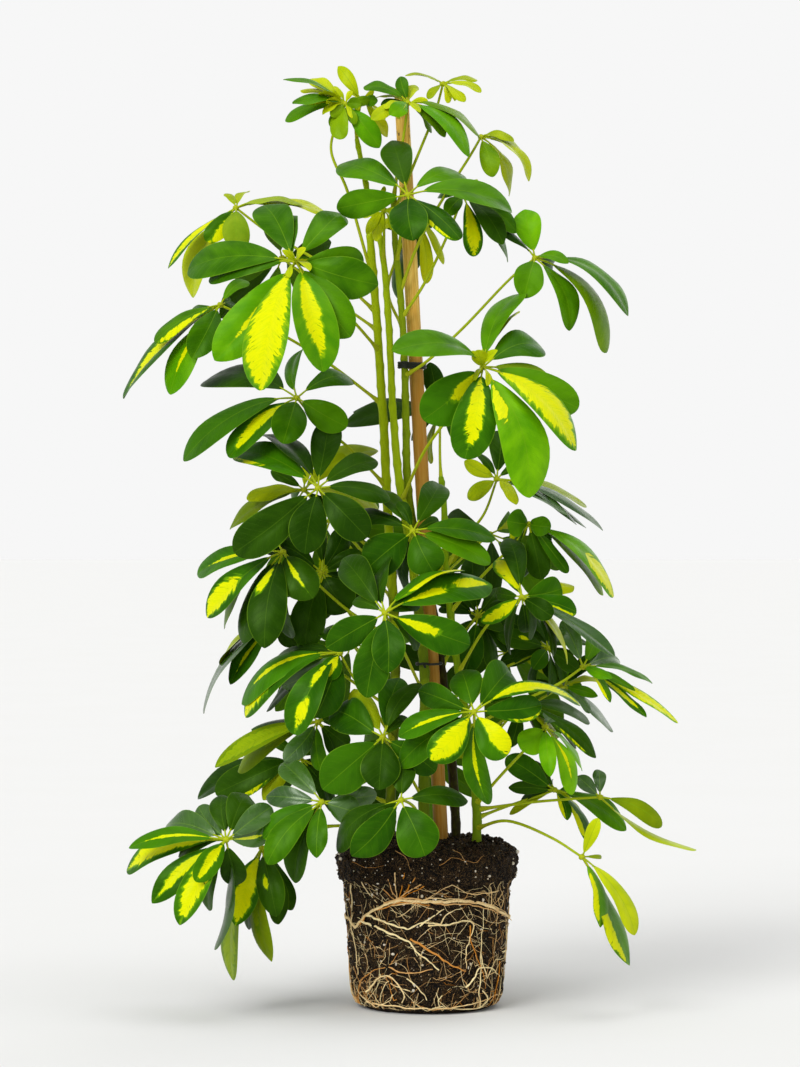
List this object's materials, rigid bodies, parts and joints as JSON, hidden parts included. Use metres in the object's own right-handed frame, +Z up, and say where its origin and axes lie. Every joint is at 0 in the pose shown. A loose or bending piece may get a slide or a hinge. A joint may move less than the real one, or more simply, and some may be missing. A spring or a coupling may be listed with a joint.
{
  "type": "umbrella house plant with root ball",
  "caption": "Upright umbrella house plant with variegated palmate fronds, its stems tied to a wooden stake in a bare, root-bound soil ball.",
  "frame": {"origin": "centre of the flat underside of the root ball, where the plant rests", "axes": "+Z up along the stems; -Y toward the side the plant shows at its fullest; +X to the right of a viewer who looks along +Y"},
  "size_m": [0.5778, 0.3954, 0.9438],
  "materials": {
    "soil": "crumbly potting soil",
    "root": "matte, fibrous",
    "stake_wood": "smooth, satin",
    "tie_wire": "matte",
    "stem_bark": "satin, green bark",
    "leaf": "glossy, variegated",
    "young_leaf": "glossy, young"
  },
  "bodies": {
    "root": {"frond_back_left": "leaf", "frond_back_low": "leaf", "frond_back_low_right": "leaf", "frond_back_middle": "leaf", "frond_back_right": "leaf", "frond_back_upper": "leaf", "frond_behind_stake": "leaf", "frond_bottom_centre": "leaf", "frond_bottom_left": "leaf", "frond_bottom_left_inner": "leaf", "frond_centre_back": "leaf", "frond_centre_dark": "leaf", "frond_centre_variegated": "leaf", "frond_crown_left": "young_leaf", "frond_crown_middle": "young_leaf", "frond_crown_olive": "young_leaf", "frond_crown_right": "young_leaf", "frond_left_bottom_back": "leaf", "frond_left_dark": "leaf", "frond_left_dark_back": "leaf", "frond_left_far_middle": "leaf", "frond_left_far_top": "leaf", "frond_left_high": "leaf", "frond_left_low": "leaf", "frond_left_low_back": "leaf", "frond_left_low_inner": "leaf", "frond_left_middle": "leaf", "frond_left_shaded": "leaf", "frond_left_variegated": "leaf", "frond_low_bright": "leaf", "frond_low_centre": "leaf", "frond_low_glossy": "leaf", "frond_low_yellow": "leaf", "frond_right_back": "leaf", "frond_right_big": "leaf", "frond_right_dark_back": "leaf", "frond_right_drooping": "leaf", "frond_right_edge": "leaf", "frond_right_edge_back": "leaf", "frond_right_high": "leaf", "frond_right_inner": "leaf", "frond_right_long": "leaf", "frond_right_low_edge": "leaf", "frond_right_low_inner": "leaf", "frond_right_top": "young_leaf", "frond_right_upper": "leaf", "frond_right_upright": "leaf", "frond_upper_back": "leaf", "frond_upper_middle": "leaf", "frond_young_middle": "young_leaf", "root_ball": "soil", "root_net": "root", "stake": "stake_wood", "stem_left": "stem_bark", "stem_main": "stem_bark", "stem_right": "stem_bark", "stem_slender": "stem_bark", "tie_lower": "tie_wire", "tie_middle": "tie_wire", "tie_upper": "tie_wire"}
  },
  "joints": []
}
